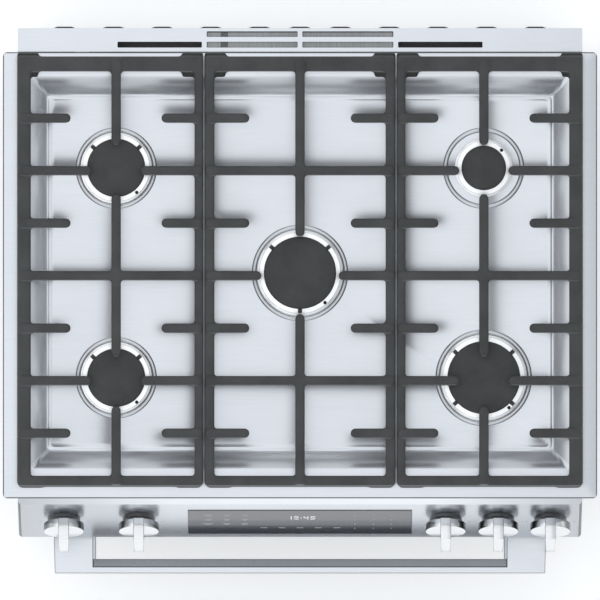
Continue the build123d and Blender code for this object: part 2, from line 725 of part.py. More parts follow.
def control_panel():
    """Sloping fascia of sheet steel: bevelled top, closed ends, returned lower edge."""
    top_z = TOP_Z - LIP - 0.4
    outline = [
        (BODY_FRONT_Y, PANEL_BOTTOM_Z),
        (PANEL_BOTTOM_Y, PANEL_BOTTOM_Z),
        (PANEL_TOP_Y, PANEL_TOP_Z),
        (COOKTOP_FRONT_Y, top_z),
        (BODY_FRONT_Y, top_z),
    ]
    middle_z = (PANEL_BOTTOM_Z + PANEL_TOP_Z) / 2
    shell = side_profile(outline, -BODY_HALF, BODY_HALF)
    corners = [
        edge for edge in shell.edges()
        if abs(abs(edge.center().X) - BODY_HALF) < 0.1
        and abs(edge.center().Z - middle_z) < 5
        and edge.center().Y < BODY_FRONT_Y - 20
    ]
    shell = fillet(corners, 5)
    lean = PLATE / math.cos(TILT)
    lean_top = lean + PLATE * math.tan(TILT)
    inside = [
        (BODY_FRONT_Y + 1, PANEL_BOTTOM_Z + PLATE),
        (PANEL_BOTTOM_Y + lean_top, PANEL_BOTTOM_Z + PLATE),
        (PANEL_TOP_Y + lean, PANEL_TOP_Z - 1),
        (COOKTOP_FRONT_Y + 1, top_z - PLATE),
        (BODY_FRONT_Y + 1, top_z - PLATE),
    ]
    shell -= side_profile(inside, -BODY_HALF + PLATE, BODY_HALF - PLATE)
    for x in KNOB_X:
        shell -= panel_disc(x, -8, 3, 7)
    return shell - display_slab(0.2, -8, 4)


def display_slab(grow, out0, out1):
    """The display's rectangle as a slab between two distances from the face."""
    height = DISPLAY_HIGH - DISPLAY_LOW
    slab = Box(DISPLAY_WIDTH + 2 * grow, height + 2 * grow, out1 - out0)
    middle = (DISPLAY_LOW + DISPLAY_HIGH) / 2
    return PANEL * Pos(0, middle, (out0 + out1) / 2) * slab


def knob_bezel(x):
    """Flat ring on the panel round a knob's stem."""
    return panel_disc(x, 0, 2, 22) - panel_disc(x, -1, 3, 9)


def knob(x):
    """Metal knob: stepped disc with a long grip bar, on a stem."""
    disc_near = KNOB_GAP
    disc_far = KNOB_GAP + KNOB_DISC_THICK
    disc = Cylinder(KNOB_DISC / 2, KNOB_DISC_THICK)
    disc = fillet(disc.edges().filter_by(GeomType.CIRCLE), 1.2)
    body = on_panel(x, (disc_near + disc_far) / 2, disc)
    grip = extrude(RectangleRounded(GRIP_WIDTH, GRIP_LENGTH, 2.5), KNOB_DISC_THICK + GRIP_HEIGHT)
    grip = fillet(grip.faces().sort_by(Axis.Z)[-1].edges(), 1.2)
    body += on_panel(x, disc_near, grip)
    body += panel_disc(x, disc_near - 1.2, disc_near + 1, 20)
    return body, panel_disc(x, STEM_FAR, disc_near - 1.2, STEM_RADIUS)


# ---------------------------------------------------------------- oven door
TAB_HALF = 4.0                 # half thickness of a hinge receiver's tab
SLOT_HALF = 6.0
CHEEK = 4.0


def window_cut(y0, y1, grow):
    """Cutter for the door's window between two depths."""
    return block(-WINDOW_HALF - grow, WINDOW_HALF + grow, y0, y1, WINDOW_LOW_Z - grow, WINDOW_HIGH_Z + grow)


def hinge_slots():
    """Cutters that clear the hinge receivers as the door swings."""
    cut = None
    for side in (-1, 1):
        x = side * HINGE_X
        slot = block(
            x - SLOT_HALF, x + SLOT_HALF, HINGE_Y - 14, DOOR_BACK_Y + 1, DOOR_LOW_Z - 1, HINGE_Z + 14
        )
        cut = slot if cut is None else cut + slot
    return cut


def door_skin():
    """Outer door shell: brushed front with a window opening and returned edges."""
    skin = block(-DOOR_HALF, DOOR_HALF, DOOR_FRONT_Y, DOOR_SEAM_Y, DOOR_LOW_Z, DOOR_TOP_Z)
    skin -= block(
        -DOOR_HALF + PLATE, DOOR_HALF - PLATE, DOOR_FRONT_Y + PLATE, DOOR_SEAM_Y + 1,
        DOOR_LOW_Z + PLATE, DOOR_TOP_Z - PLATE,
    )
    return skin - window_cut(DOOR_FRONT_Y - 1, DOOR_FRONT_Y + 5, 0) - hinge_slots()


def door_liner():
    """Enamelled inner door panel, returned forward to the skin and cut for the inner glass."""
    liner = block(-DOOR_HALF, DOOR_HALF, DOOR_SEAM_Y, DOOR_BACK_Y, DOOR_LOW_Z, DOOR_TOP_Z)
    liner -= block(
        -DOOR_HALF + PLATE, DOOR_HALF - PLATE, DOOR_SEAM_Y - 1, DOOR_BACK_Y - PLATE,
        DOOR_LOW_Z + PLATE, DOOR_TOP_Z - PLATE,
    )
    return liner - window_cut(DOOR_BACK_Y - 5, DOOR_BACK_Y + 1, 0) - hinge_slots()


def door_glass_outer():
    """Outer pane clamped behind the skin."""
    near = DOOR_FRONT_Y + PLATE
    return window_cut(near, near + 4, 18)


def door_glass_inner():
    """Inner pane clamped in front of the liner."""
    near = DOOR_BACK_Y - PLATE
    return window_cut(near - 4, near, 14)


def door_hinge(side):
    """Cheeks and pin on the door's side of a hinge."""
    x = side * HINGE_X
    hinge = rod_x(x - SLOT_HALF - 6, x + SLOT_HALF + 6, HINGE_Y, HINGE_Z, PIN_RADIUS)
    back = DOOR_BACK_Y - PLATE
    for edge in (-1, 1):
        cheek_x = x + edge * (SLOT_HALF + 1 + CHEEK / 2)
        near_x, far_x = cheek_x - CHEEK / 2, cheek_x + CHEEK / 2
        hinge += block(near_x, far_x, HINGE_Y - 16, back, HINGE_Z - 22, HINGE_Z + 45)
    return hinge


def hinge_receiver(side):
    """Bored tab and base plate on the body's side of a hinge."""
    x = side * HINGE_X
    tab = block(x - TAB_HALF, x + TAB_HALF, HINGE_Y, STEP_Y, HINGE_Z - 12, HINGE_Z + 12)
    tab += rod_x(x - TAB_HALF, x + TAB_HALF, HINGE_Y, HINGE_Z, 12)
    tab += block(x - 18, x + 18, STEP_Y - 3, STEP_Y, HINGE_Z - 32, HINGE_Z + 24)
    return tab - rod_x(x - TAB_HALF - 1, x + TAB_HALF + 1, HINGE_Y, HINGE_Z, PIN_RADIUS + RUNNING)


def door_gasket():
    """Woven seal clipped round the oven mouth."""
    near = DOOR_BACK_Y + 0.4
    outer = CAVITY_HALF + 14
    ring = block(-outer, outer, near, BODY_FRONT_Y, MOUTH_LOW_Z - 2, CAVITY_TOP_Z + 13)
    inner = CAVITY_HALF + 4
    return ring - block(-inner, inner, near - 1, BODY_FRONT_Y + 1, MOUTH_LOW_Z + 7, CAVITY_TOP_Z + 4)


def pull_handle(z):
    """Full-width handle: a faceted bar between two flat-topped end brackets."""
    half = HANDLE_HEIGHT / 2
    flat = 8.7
    outline = [
        (FRONT_Y, z - half), (FRONT_Y, z + half), (FRONT_Y + flat, z + half),
        (GRIP_BACK_Y, z + 4), (GRIP_BACK_Y, z - 4), (FRONT_Y + flat, z - half),
    ]
    inner = HANDLE_HALF - BRACKET
    handle = side_profile(outline, -inner - 5, inner + 5)
    for side in (-1, 1):
        plan = Polyline(
            (side * HANDLE_HALF, DOOR_FRONT_Y), (side * (HANDLE_HALF - 1.4), FRONT_Y),
            (side * inner, FRONT_Y), (side * inner, DOOR_FRONT_Y), close=True,
        )
        handle += Pos(0, 0, z - half) * extrude(make_face(plan), HANDLE_HEIGHT)
    return handle


# ---------------------------------------------------------------- storage drawer
DRAWER_BACK_Y = 170.0
RUNNER_Z = 165.0
SLIDE_HALF = 12.0


def drawer_front():
    """Drawer face, folded at all four edges."""
    seam = DOOR_FRONT_Y + 20
    front = block(-DOOR_HALF, DOOR_HALF, DOOR_FRONT_Y, seam, DRAWER_LOW_Z, DRAWER_TOP_Z)
    return front - block(
        -DOOR_HALF + PLATE, DOOR_HALF - PLATE, DOOR_FRONT_Y + PLATE, seam + 1,
        DRAWER_LOW_Z + PLATE, DRAWER_TOP_Z - PLATE,
    )


def drawer_box():
    """Open-topped tray with a runner along each side."""
    seam = DOOR_FRONT_Y + 20
    low = DRAWER_LOW_Z + 10
    tray = block(-DRAWER_HALF, DRAWER_HALF, seam, DRAWER_BACK_Y, low, DRAWER_TOP_Z - 20)
    tray += block(-DOOR_HALF + 8, DOOR_HALF - 8, seam, seam + PLATE, low, DRAWER_TOP_Z - 12)
    tray -= block(
        -DRAWER_HALF + PLATE, DRAWER_HALF - PLATE, seam + PLATE, DRAWER_BACK_Y - PLATE,
        low + PLATE, DRAWER_TOP_Z,
    )
    for side in (-1, 1):
        ends = sorted((side * DRAWER_HALF, side * (DRAWER_HALF + 8)))
        tray += block(*ends, -225, DRAWER_BACK_Y, RUNNER_Z - 5, RUNNER_Z + 5)
    return tray


def drawer_slide(side):
    """Channel on the body that a drawer runner slides in."""
    near = DRAWER_HALF + 1.5
    ends = sorted((side * near, side * (near + 14)))
    channel = block(*ends, -232, 230, RUNNER_Z - SLIDE_HALF, RUNNER_Z + SLIDE_HALF)
    groove = sorted((side * (near - 1), side * (near + 7.5)))
    channel -= block(*groove, -233, 231, RUNNER_Z - 5.4, RUNNER_Z + 5.4)
    bracket = sorted((side * (near + 14), side * DOOR_HALF))
    for y in (-215, 200):
        channel += block(*bracket, y - 12, y + 12, RUNNER_Z - SLIDE_HALF, RUNNER_Z + SLIDE_HALF)
    return channel


# ---------------------------------------------------------------- write every sub-part
def main():
    os.makedirs("parts", exist_ok=True)
    sides = (-1, 1)
    save("base_frame", base_frame())
    save("levelling_legs", *[levelling_leg(side * LEG_X, y) for side in sides for y in LEG_Y])
    save("left_side_panel", side_panel(-1))
    save("right_side_panel", side_panel(1))
    save("rear_panel", rear_panel())
    save("rear_screws", *rear_screws())
    save("front_frame", front_frame())
    save("rear_vent_trim", rear_vent_trim())
    save("spacer_tabs", *spacer_tabs())

    save("oven_liner", oven_liner())
    save("oven_insulation", oven_insulation())
    save("rack_ladders", *[rack_ladder(side) for side in sides])
    save("oven_burners", *oven_burners())
    save("oven_floor_panel", oven_floor_panel())
    save("fan_baffle", fan_baffle())
    save("convection_fan", convection_fan())
    save("fan_motor", fan_motor())
    save("flue_duct", flue_duct())
    save("lower_rack", oven_rack(RACK_LEVELS[0]))
    save("upper_rack", oven_rack(RACK_LEVELS[2]))

    save("cooktop", cooktop())
    save("burner_bowls", *[burner_bowl(*burner[1:3]) for burner in BURNERS])
    save("burner_heads", *[burner_head(*burner) for burner in BURNERS])
    save("igniters", *[igniter(*burner) for burner in BURNERS])
    for burner in BURNERS:
        save(f"{burner[0]}_cap", burner_cap(*burner))
    save("left_grate", side_grate(-1))
    save("centre_grate", centre_grate())
    save("right_grate", side_grate(1))

    feeds = {burner[0]: burner for burner in BURNERS}
    tubes = [burner_tube(x, feeds[name]) for x, name in zip(KNOB_X, KNOB_BURNER)]
    save("gas_pipework", gas_supply(), *tubes)
    save("gas_regulator", gas_regulator())
    save("gas_valves", *[gas_valve(x) for x in KNOB_X])
    save("terminal_block", terminal_block())
    save("control_panel", control_panel())
    save("display_glass", display_slab(0, -3, 0.8))
    save("knob_bezels", *[knob_bezel(x) for x in KNOB_X])
    for x, name in zip(KNOB_X, KNOB_BURNER):
        save(f"{name}_valve_plug", valve_plug(x))
        save(f"{name}_knob", *knob(x))

    save("door_skin", door_skin())
    save("door_liner", door_liner())
    save("door_glass", door_glass_outer(), door_glass_inner())
    save("door_handle", pull_handle(HANDLE_Z))
    save("door_hinges", *[door_hinge(side) for side in sides])
    save("hinge_receivers", *[hinge_receiver(side) for side in sides])
    save("door_gasket", door_gasket())
    save("drawer_front", drawer_front())
    save("drawer_box", drawer_box())
    save("drawer_handle", pull_handle(DRAWER_HANDLE_Z))
    save("drawer_slides", *[drawer_slide(side) for side in sides])


main()
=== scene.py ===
import json
import math

import bmesh
import bpy
from mathutils import Matrix, Vector


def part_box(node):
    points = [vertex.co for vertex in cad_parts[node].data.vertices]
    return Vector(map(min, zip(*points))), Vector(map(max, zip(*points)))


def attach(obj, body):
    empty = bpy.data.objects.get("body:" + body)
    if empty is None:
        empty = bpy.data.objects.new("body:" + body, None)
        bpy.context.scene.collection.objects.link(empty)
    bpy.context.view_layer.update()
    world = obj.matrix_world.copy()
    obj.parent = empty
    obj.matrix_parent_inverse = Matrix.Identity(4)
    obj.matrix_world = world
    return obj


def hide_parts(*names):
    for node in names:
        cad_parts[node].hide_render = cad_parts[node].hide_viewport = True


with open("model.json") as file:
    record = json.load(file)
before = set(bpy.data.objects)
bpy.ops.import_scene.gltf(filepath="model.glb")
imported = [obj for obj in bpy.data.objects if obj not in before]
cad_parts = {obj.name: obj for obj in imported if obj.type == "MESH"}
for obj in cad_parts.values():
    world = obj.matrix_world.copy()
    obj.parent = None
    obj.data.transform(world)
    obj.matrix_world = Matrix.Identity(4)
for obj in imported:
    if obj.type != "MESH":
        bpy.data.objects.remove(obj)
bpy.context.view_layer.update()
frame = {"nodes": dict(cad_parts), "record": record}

# Looks of the freestanding gas range. Sizes are in millimetres, like the part's source, and MM turns
# them into the frame's metres. Only the studio's floor and lamps are given in metres.
MM = 0.001
BODY = "range_body"


def corners(node):
    """A CAD node's lowest and highest corner, in millimetres."""
    low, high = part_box(node)
    return low / MM, high / MM


# ---------------------------------------------------------------- camera, floor and light
FRAME_WIDTH = 807.6            # width of the cooktop plane that fills the picture
LENS = 1600.0
SENSOR = 36.0

TOP_Z = corners("cooktop")[1].z


def make_camera():
    """A very long lens above the door's handle, so the drawer's handle stays hidden beneath it."""
    data = bpy.data.cameras.new("plan_camera")
    data.lens = LENS
    data.sensor_width = SENSOR
    distance = FRAME_WIDTH * MM * LENS / SENSOR
    data.clip_end = 10 * distance
    aim = Vector((0, 0, TOP_Z * MM))
    camera = bpy.data.objects.new("plan_camera", data)
    camera.location = aim + Vector((0, corners("door_handle")[0].y * MM, distance))
    camera.rotation_euler = (camera.location - aim).to_track_quat("Z", "Y").to_euler()
    bpy.context.scene.collection.objects.link(camera)
    bpy.context.scene.camera = camera


def area_light(name, place, aim, size, power, colour):
    """A soft rectangular lamp."""
    data = bpy.data.lights.new(name, "AREA")
    data.shape = "RECTANGLE"
    data.size, data.size_y = size
    data.energy = power
    data.color = colour
    lamp = bpy.data.objects.new(name, data)
    lamp.location = place
    lamp.rotation_euler = (Vector(aim) - Vector(place)).to_track_quat("-Z", "Y").to_euler()
    bpy.context.scene.collection.objects.link(lamp)


def make_studio():
    """Pale floor, even white surroundings and a large soft ceiling lamp."""
    bpy.ops.mesh.primitive_plane_add(size=200)
    floor = bpy.context.object
    floor.name = "studio_floor"
    material, shader = new_material("studio_floor")[:2]
    shader.inputs["Base Color"].default_value = (0.95, 0.95, 0.95, 1)
    shader.inputs["Emission Color"].default_value = (1, 1, 1, 1)
    shader.inputs["Emission Strength"].default_value = 0.27
    shader.inputs["Roughness"].default_value = 0.9
    shader.inputs["Specular IOR Level"].default_value = 0.1
    floor.data.materials.append(material)
    world = bpy.data.worlds.new("studio")
    bpy.context.scene.world = world
    world.use_nodes = True
    background = world.node_tree.nodes["Background"]
    background.inputs["Color"].default_value = (0.94, 0.97, 1.0, 1)
    background.inputs["Strength"].default_value = 0.77
    area_light("ceiling", (-1.36, 0.0, 2.6), (-1.36, 0.0, 0), (3.8, 4.4), 23, (0.97, 0.985, 1.0))
    area_light("front_fill", (0.0, -3.4, 1.3), (0, -0.3, 0.5), (3.6, 1.4), 9, (1, 1, 1))
    area_light("back_fill", (0.4, 3.4, 1.3), (0, 0.3, 0.6), (3.6, 1.4), 9, (1, 1, 1))
    area_light("right_fill", (3.4, 0.0, 1.2), (0, 0, 0.7), (3.6, 1.2), 11, (1, 1, 1))
    area_light("left_fill", (-3.4, 0.0, 1.2), (0, 0, 0.7), (3.6, 1.2), 8, (1, 1, 1))
    bpy.context.scene.view_settings.view_transform = "Standard"


# ---------------------------------------------------------------- material helpers
def new_material(name):
    """An empty node material: its block, its shader, and its tree's nodes and links."""
    material = bpy.data.materials.new(name)
    material.use_nodes = True
    tree = material.node_tree
    return material, tree.nodes["Principled BSDF"], tree.nodes, tree.links


def noise(nodes, links, scale, detail=3.0, stretch=(1, 1, 1), roughness=0.55):
    """Object-space noise; stretch scales each axis before it is read."""
    place = nodes.new("ShaderNodeTexCoord")
    mapping = nodes.new("ShaderNodeMapping")
    mapping.inputs["Scale"].default_value = stretch
    texture = nodes.new("ShaderNodeTexNoise")
    texture.inputs["Scale"].default_value = scale
    texture.inputs["Detail"].default_value = detail
    texture.inputs["Roughness"].default_value = roughness
    links.new(place.outputs["Object"], mapping.inputs["Vector"])
    links.new(mapping.outputs["Vector"], texture.inputs["Vector"])
    return texture.outputs["Fac"]


def spread(nodes, links, value, low, high, start=0.3, end=0.7):
    """Map a value between start and end onto a range from low to high."""
    node = nodes.new("ShaderNodeMapRange")
    node.inputs["From Min"].default_value = start
    node.inputs["From Max"].default_value = end
    node.inputs["To Min"].default_value = low
    node.inputs["To Max"].default_value = high
    links.new(value, node.inputs["Value"])
    return node.outputs["Result"]


def blend(nodes, links, share, first, second):
    """Mix two colours by a 0 to 1 share; each is a colour or another node's output."""
    node = nodes.new("ShaderNodeMix")
    node.data_type = "RGBA"
    for socket, colour in ((node.inputs["A"], first), (node.inputs["B"], second)):
        if isinstance(colour, tuple):
            socket.default_value = (*colour, 1)
        else:
            links.new(colour, socket)
    links.new(share, node.inputs["Factor"])
    return node.outputs["Result"]


def bump(nodes, links, shader, value, depth, strength):
    """Give a surface relief from a value, its depth in millimetres."""
    node = nodes.new("ShaderNodeBump")
    node.inputs["Distance"].default_value = depth * MM
    node.inputs["Strength"].default_value = strength
    links.new(value, node.inputs["Height"])
    links.new(node.outputs["Normal"], shader.inputs["Normal"])


def split_axes(nodes, links, vector):
    """The X, Y and Z of a vector."""
    split = nodes.new("ShaderNodeSeparateXYZ")
    links.new(vector, split.inputs["Vector"])
    return split.outputs


def position(nodes, links):
    """The X, Y and Z of a point on the object, in metres."""
    return split_axes(nodes, links, nodes.new("ShaderNodeTexCoord").outputs["Object"])


def facing(nodes, links):
    """The X, Y and Z of the surface's normal."""
    return split_axes(nodes, links, nodes.new("ShaderNodeNewGeometry").outputs["Normal"])


def without_sign(nodes, links, value):
    """A value's size."""
    node = nodes.new("ShaderNodeMath")
    node.operation = "ABSOLUTE"
    links.new(value, node.inputs[0])
    return node.outputs[0]


def times(nodes, links, value, factor):
    """A value times a number or another node's output."""
    node = nodes.new("ShaderNodeMath")
    node.operation = "MULTIPLY"
    links.new(value, node.inputs[0])
    if isinstance(factor, float):
        node.inputs[1].default_value = factor
    else:
        links.new(factor, node.inputs[1])
    return node.outputs[0]


SMUDGE_SHARE = 0.45            # how much of a metal's unevenness is smudges; the rest is its grain


def brushed_metal(name, dark, light, rough, grain=(1, 30, 30), aniso=0.35, depth=0.004, side_shade=None):
    """Metal with a fine directional grain, faint smudges and uneven gloss. The last argument, (axis,
    colour, start, end), paints shade: faces take that colour as the axis's share of their normal goes from
    start to end."""
    material, shader, nodes, links = new_material(name)
    shader.inputs["Metallic"].default_value = 1.0
    shader.inputs["Anisotropic"].default_value = aniso
    tangent = nodes.new("ShaderNodeCombineXYZ")
    tangent.inputs["X"].default_value = 1.0
    links.new(tangent.outputs["Vector"], shader.inputs["Tangent"])
    lines = noise(nodes, links, 26, 4.0, grain, 0.6)
    smudge = noise(nodes, links, 7, 4.0)
    mixed = nodes.new("ShaderNodeMath")
    mixed.operation = "MULTIPLY_ADD"
    mixed.inputs[1].default_value = 1 - SMUDGE_SHARE
    links.new(lines, mixed.inputs[0])
    links.new(times(nodes, links, smudge, SMUDGE_SHARE), mixed.inputs[2])
    shade = spread(nodes, links, mixed.outputs[0], 0, 1, 0.36, 0.64)
    colour = blend(nodes, links, shade, dark, light)
    # painted shade: faces turned along the chosen axis take a darker colour
    if side_shade:
        axis, tone, start, end = side_shade
        share = without_sign(nodes, links, facing(nodes, links)[axis])
        colour = blend(nodes, links, spread(nodes, links, share, 0, 1, start, end), colour, tone)
    links.new(colour, shader.inputs["Base Color"])
    gloss = spread(nodes, links, mixed.outputs[0], rough + 0.03, rough - 0.03)
    links.new(gloss, shader.inputs["Roughness"])
    bump(nodes, links, shader, lines, depth, 0.4)
    return material


def shade_panel_ends(material, near, far, tone):
    """Darken a metal's colour towards both ends along X, between two distances in millimetres: painted
    shade standing in for darker reflections there.
    """
    nodes, links = material.node_tree.nodes, material.node_tree.links
    base = nodes["Principled BSDF"].inputs["Base Color"]
    reach = without_sign(nodes, links, position(nodes, links)["X"])
    share = spread(nodes, links, reach, 0, 1, near * MM, far * MM)
    links.new(blend(nodes, links, share, base.links[0].from_socket, tone), base)
    return material


def cast_material(name, dark, light, rough, grit, depth):
    """Sand-cast or matt enamelled iron: mottled tone, pitted skin."""
    material, shader, nodes, links = new_material(name)
    mottle = noise(nodes, links, 30, 5.0)
    pits = noise(nodes, links, grit, 4.0, (1, 1, 1), 0.65)
    skin = blend(nodes, links, spread(nodes, links, mottle, 0, 1), dark, light)
    links.new(skin, shader.inputs["Base Color"])
    links.new(spread(nodes, links, pits, rough - 0.08, rough + 0.1), shader.inputs["Roughness"])
    shader.inputs["Specular IOR Level"].default_value = 0.42
    bump(nodes, links, shader, pits, depth, 0.8)
    return material


def grate_material(name, dark, light, shade_line):
    """Cast iron with a painted highlight on its front edges and painted near-black shade on the feet below
    a height in millimetres.
    """
    material = cast_material(name, dark, light, 0.52, 260, 0.10)
    nodes, links = material.node_tree.nodes, material.node_tree.links
    base = nodes["Principled BSDF"].inputs["Base Color"]
    normal = facing(nodes, links)
    # painted highlight: faces turned forward and up are paler
    forward = spread(nodes, links, normal["Y"], 1, 0, -0.85, -0.55)
    upward = spread(nodes, links, normal["Z"], 0, 1, 0.2, 0.4)
    front_highlight = times(nodes, links, forward, upward)
    skin = blend(nodes, links, front_highlight, base.links[0].from_socket, (0.15, 0.155, 0.16))
    # painted shade: below the given height the iron is near-black
    height = position(nodes, links)["Z"]
    unshaded = spread(nodes, links, height, 0, 1, (shade_line - 0.8) * MM, (shade_line + 0.2) * MM)
    links.new(blend(nodes, links, unshaded, (0.010, 0.010, 0.010), skin), base)
    return material


def coated(name, dark, light, rough, scale, depth=0.01, coat=0.0):
    """Paint, enamel, rubber or plastic: slight tone change, fine orange peel."""
    material, shader, nodes, links = new_material(name)
    grain = noise(nodes, links, scale, 4.0)
    wear = noise(nodes, links, 9, 3.0)
    colour = blend(nodes, links, spread(nodes, links, wear, 0, 1), dark, light)
    links.new(colour, shader.inputs["Base Color"])
    links.new(spread(nodes, links, grain, rough - 0.05, rough + 0.07), shader.inputs["Roughness"])
    shader.inputs["Coat Weight"].default_value = coat
    shader.inputs["Coat Roughness"].default_value = 0.08
    bump(nodes, links, shader, grain, depth, 0.5)
    return material


def glass_material(name, tint, rough, alpha=1.0):
    """Dark glass with faint smears in its gloss."""
    material, shader, nodes, links = new_material(name)
    smear = noise(nodes, links, 6, 4.0, (1, 3, 1))
    shade = tuple(0.8 * c for c in tint)
    colour = blend(nodes, links, spread(nodes, links, smear, 0, 1), shade, tint)
    links.new(colour, shader.inputs["Base Color"])
    links.new(spread(nodes, links, smear, rough, rough + 0.06), shader.inputs["Roughness"])
    shader.inputs["IOR"].default_value = 1.52
    shader.inputs["Alpha"].default_value = alpha
    return material


def display_material(name, upper, lower, split):
    """Tinted glass whose foot, below a height in millimetres, has a darker backing."""
    material = glass_material(name, upper, 0.06)
    nodes, links = material.node_tree.nodes, material.node_tree.links
    height = position(nodes, links)["Z"]
    band = spread(nodes, links, height, 0, 1, (split - 0.4) * MM, (split + 0.4) * MM)
    base = nodes["Principled BSDF"].inputs["Base Color"]
    links.new(blend(nodes, links, band, lower, upper), base)
    return material


def woven_material(name, dark, light):
    """Knitted fibre: crossed waves with fuzz."""
    material, shader, nodes, links = new_material(name)
    place = nodes.new("ShaderNodeTexCoord")
    weave = nodes.new("ShaderNodeTexWave")
    weave.inputs["Scale"].default_value = 160
    weave.inputs["Distortion"].default_value = 1.5
    links.new(place.outputs["Object"], weave.inputs["Vector"])
    fuzz = noise(nodes, links, 300, 3.0)
    links.new(blend(nodes, links, weave.outputs["Fac"], dark, light), shader.inputs["Base Color"])
    links.new(spread(nodes, links, fuzz, 0.8, 0.95), shader.inputs["Roughness"])
    shader.inputs["Sheen Weight"].default_value = 0.3
    bump(nodes, links, shader, weave.outputs["Fac"], 0.15, 0.6)
    return material


# ---------------------------------------------------------------- materials
FOOT_TOP_Z = corners("left_grate")[1].z - 7.4    # feet and lugs of the grates end just under this; below it the iron takes painted shade
DISPLAY_SPLIT_Z = 802.6                          # upper end of the display's darker foot


def make_materials():
    """Every finish, by its slot name."""
    return {
        "brushed_steel": brushed_metal("brushed_steel", (0.655, 0.675, 0.71), (0.69, 0.71, 0.745), 0.31),
        # panel steel with painted shade towards its ends, standing in for darker reflections
        "panel_steel": shade_panel_ends(
            brushed_metal("panel_steel", (0.655, 0.675, 0.71), (0.69, 0.71, 0.745), 0.25),
            170, 375, (0.44, 0.455, 0.48),
        ),
        # a darker copy of the brushed steel for the door and drawer fronts: painted shade on the upright
        # front
        "shaded_door_steel": brushed_metal("shaded_door_steel", (0.47, 0.485, 0.51), (0.53, 0.545, 0.57), 0.28),
        "side_steel": brushed_metal(
            "side_steel", (0.36, 0.37, 0.39), (0.42, 0.43, 0.45), 0.40, (1, 30, 2), aniso=0.2
        ),
        # a near-black copy of the steel for rounded edges, the rolled lip and the panel's ends: painted
        # shade on faces turned sideways
        "shaded_steel_edge": brushed_metal("shaded_steel_edge", (0.13, 0.135, 0.14), (0.18, 0.185, 0.19), 0.4, aniso=0.0),
        # handle steel whose faces looking along Y take painted shade
        "handle_steel": brushed_metal(
            "handle_steel", (0.655, 0.675, 0.71), (0.69, 0.71, 0.745), 0.25,
            side_shade=("Y", (0.47, 0.48, 0.50), 0.15, 0.4),
        ),
        # knob steel whose disc rim and grip sides, where they face along X, take near-black painted shade
        "knob_steel": brushed_metal(
            "knob_steel", (0.74, 0.75, 0.76), (0.80, 0.805, 0.81), 0.20,
            side_shade=("X", (0.16, 0.165, 0.17), 0.35, 0.85),
        ),
        # a slightly darker copy of the cooktop steel whose sloping sides take painted shade
        "ring_steel": brushed_metal(
            "ring_steel", (0.62, 0.64, 0.67), (0.66, 0.68, 0.71), 0.30, aniso=0.0,
            side_shade=("X", (0.20, 0.205, 0.215), 0.0, 0.34),
        ),
        "head_aluminium": brushed_metal(
            "head_aluminium", (0.93, 0.935, 0.94), (0.97, 0.97, 0.97), 0.34, (12, 12, 12), aniso=0.1
        ),
        "galvanised": brushed_metal(
            "galvanised", (0.50, 0.52, 0.53), (0.66, 0.68, 0.69), 0.42, (1, 1, 1), aniso=0.0, depth=0.01
        ),
        "zinc": brushed_metal("zinc", (0.52, 0.53, 0.52), (0.66, 0.66, 0.63), 0.35, (3, 3, 3), aniso=0.0),
        "aluminium": brushed_metal(
            "aluminium", (0.72, 0.73, 0.74), (0.82, 0.82, 0.83), 0.32, (4, 1, 4), aniso=0.2
        ),
        "brass": brushed_metal("brass", (0.62, 0.46, 0.20), (0.78, 0.60, 0.30), 0.30, (3, 3, 3), aniso=0.1),
        "wire_chrome": brushed_metal(
            "wire_chrome", (0.70, 0.71, 0.72), (0.78, 0.78, 0.79), 0.14, (2, 2, 2), aniso=0.0
        ),
        "cast_iron": grate_material(
            "cast_iron", (0.031, 0.032, 0.032), (0.050, 0.052, 0.052), FOOT_TOP_Z
        ),
        "cap_enamel": cast_material(
            "cap_enamel", (0.028, 0.028, 0.028), (0.045, 0.045, 0.045), 0.55, 420, 0.05
        ),
        "dark_enamel": coated(
            "dark_enamel", (0.018, 0.022, 0.035), (0.035, 0.042, 0.065), 0.22, 420, 0.02, coat=0.4
        ),
        "black_paint": coated("black_paint", (0.012, 0.012, 0.013), (0.028, 0.028, 0.030), 0.45, 180),
        "plastic": coated("plastic", (0.03, 0.03, 0.032), (0.06, 0.06, 0.062), 0.5, 220),
        "rubber": coated("rubber", (0.010, 0.010, 0.010), (0.022, 0.022, 0.022), 0.75, 260, 0.03),
        "bezel": coated("bezel", (0.05, 0.052, 0.056), (0.08, 0.082, 0.088), 0.28, 200, 0.006, coat=0.5),
        "ceramic": coated("ceramic", (0.70, 0.69, 0.64), (0.82, 0.81, 0.77), 0.3, 150, coat=0.5),
        "display_glass": display_material(
            "display_glass", (0.062, 0.064, 0.070), (0.030, 0.031, 0.036), DISPLAY_SPLIT_Z
        ),
        "window_glass": glass_material("window_glass", (0.010, 0.010, 0.012), 0.04, 0.82),
        "fibre": woven_material("fibre", (0.55, 0.50, 0.34), (0.80, 0.76, 0.60)),
        "gasket": woven_material("gasket", (0.10, 0.10, 0.10), (0.26, 0.26, 0.26)),
        "print": coated("print", (0.36, 0.37, 0.38), (0.46, 0.47, 0.48), 0.5, 200, 0.002),
        "digits": coated("digits", (0.82, 0.84, 0.86), (0.92, 0.93, 0.95), 0.4, 200, 0.002),
        # a dark grey for the rear panel's ledges seen through the outer vent slots: painted shade in the
        # slots
        "shaded_ledge_paint": coated("shaded_ledge_paint", (0.15, 0.153, 0.17), (0.19, 0.193, 0.21), 0.5, 180),
        "screen_steel": brushed_metal(
            "screen_steel", (0.20, 0.205, 0.21), (0.34, 0.345, 0.35), 0.42, (45, 1, 1), aniso=0.0
        ),
        # near-black: soot on the igniters, painted shade on the cap lugs' ends under the grate fingers; the
        # walls of the ports and igniter holes take it too
        "soot_and_shade": coated("soot_and_shade", (0.008, 0.008, 0.008), (0.016, 0.016, 0.016), 0.7, 300, 0.02),
    }


